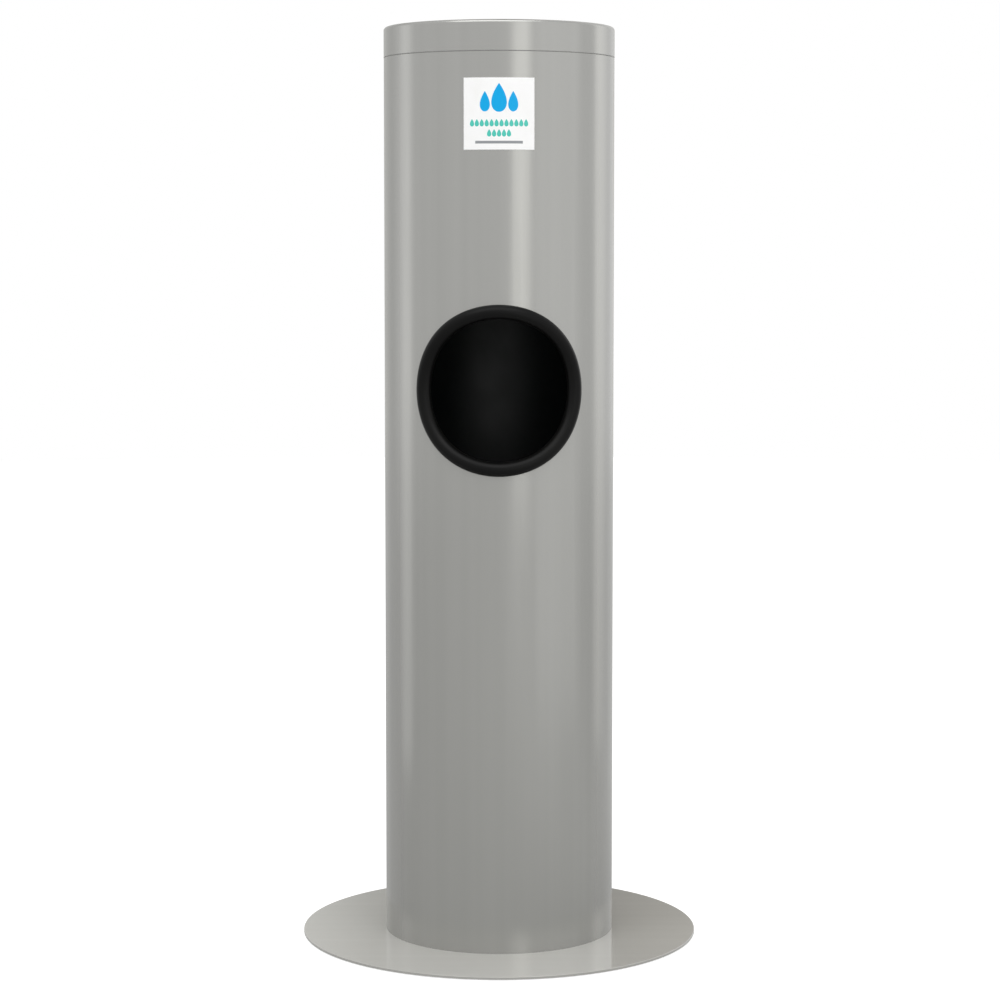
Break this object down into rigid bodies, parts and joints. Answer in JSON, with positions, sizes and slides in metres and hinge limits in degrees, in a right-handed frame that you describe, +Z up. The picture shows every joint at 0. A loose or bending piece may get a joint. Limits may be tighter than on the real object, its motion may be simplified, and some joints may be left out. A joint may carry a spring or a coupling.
{
  "type": "floor-standing wipes dispenser",
  "caption": "Free-standing steel column that dispenses wipes through its lid and takes waste through a round front opening",
  "frame": {"origin": "centre of the underside of the base, on the floor, on the column's axis", "axes": "+Z up along the column, -Y towards the front opening, +X to the viewer's right in front of it"},
  "size_m": [0.3939, 0.394, 0.9059],
  "materials": {
    "satin_steel": "satin",
    "plate_steel": "polished satin",
    "plain_steel": "plain mill",
    "hinge_steel": "satin",
    "zinc_steel": "bright zinc",
    "rivet_aluminium": "plain",
    "lock_chrome": "polished",
    "black_rubber": "matt",
    "grey_silicone": "matt",
    "black_plastic": "fine grain",
    "nozzle_plastic": "semi-gloss",
    "label_vinyl": "printed vinyl"
  },
  "bodies": {
    "stand": {"tube_shell": "satin_steel", "opening_trim": "black_rubber", "front_label": "label_vinyl", "base_plate": "plate_steel", "floor_pad": "black_rubber", "base_screws": "zinc_steel", "base_washers": "zinc_steel", "base_nuts": "zinc_steel", "tube_floor": "plain_steel", "bin_locating_ring": "plain_steel", "bucket_shelf": "plain_steel", "door_stop_strip": "plain_steel", "lower_hinge_tube_leaf": "hinge_steel", "upper_hinge_tube_leaf": "hinge_steel", "lower_hinge_pin": "hinge_steel", "upper_hinge_pin": "hinge_steel", "hinge_tube_rivets": "rivet_aluminium"},
    "door": {"rear_door": "satin_steel", "lower_hinge_door_leaf": "hinge_steel", "upper_hinge_door_leaf": "hinge_steel", "hinge_door_rivets": "rivet_aluminium", "lock_barrel": "lock_chrome", "lock_nut": "zinc_steel"},
    "cam": {"lock_plug": "lock_chrome", "lock_cam": "zinc_steel", "lock_cam_screw": "zinc_steel"},
    "bin": {"trash_bin": "black_plastic"},
    "bucket": {"wipes_bucket": "black_plastic"},
    "lid": {"lid_shell": "satin_steel", "lid_spigot": "plain_steel", "lid_gasket": "grey_silicone", "nozzle_body": "nozzle_plastic", "nozzle_nut": "nozzle_plastic", "nozzle_diaphragm": "black_rubber", "nozzle_retainer": "nozzle_plastic", "nozzle_screws": "zinc_steel"}
  },
  "joints": [
    {"name": "door_swing", "type": "hinge", "parent": "stand", "child": "door", "pos_m": [0.10171, 0.05944, 0.3], "axis": [0, 0, -1], "range_deg": [0, 120]},
    {"name": "lock_turn", "type": "hinge", "parent": "door", "child": "cam", "pos_m": [-0.08231, 0.07297, 0.3355], "axis": [-0.7483, 0.6634, 0], "range_deg": [0, 90]},
    {"name": "bin_lift", "type": "slide", "parent": "stand", "child": "bin", "axis": [0, 0, 1], "range_m": [0, 0.012]},
    {"name": "bucket_lift", "type": "slide", "parent": "stand", "child": "bucket", "axis": [0, 0, 1], "range_m": [0, 0.21]},
    {"name": "lid_lift", "type": "slide", "parent": "bucket", "child": "lid", "axis": [0, 0, 1], "range_m": [0, 0.1]}
  ]
}
